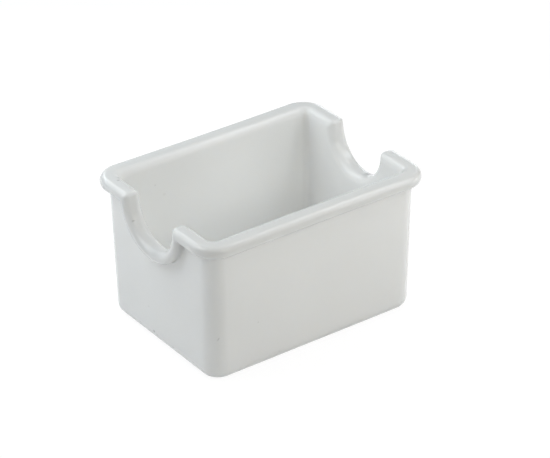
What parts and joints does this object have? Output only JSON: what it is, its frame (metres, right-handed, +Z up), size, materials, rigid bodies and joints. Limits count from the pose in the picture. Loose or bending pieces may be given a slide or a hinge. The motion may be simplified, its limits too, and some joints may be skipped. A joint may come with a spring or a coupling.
{
  "type": "sugar packet holder",
  "caption": "Open rectangular table caddy for sugar packets, one white plastic moulding whose rolled rim dips through a round finger notch in each end wall.",
  "frame": {"origin": "on the table, under the middle of the box", "axes": "+X along the length, so the notched end walls face -X and +X; +Y across the width, so the long walls face -Y and +Y; +Z up"},
  "size_m": [0.089, 0.068, 0.0515],
  "materials": {
    "white_plastic": "smooth gloss"
  },
  "bodies": {
    "root": {"holder_body": "white_plastic"}
  },
  "joints": []
}
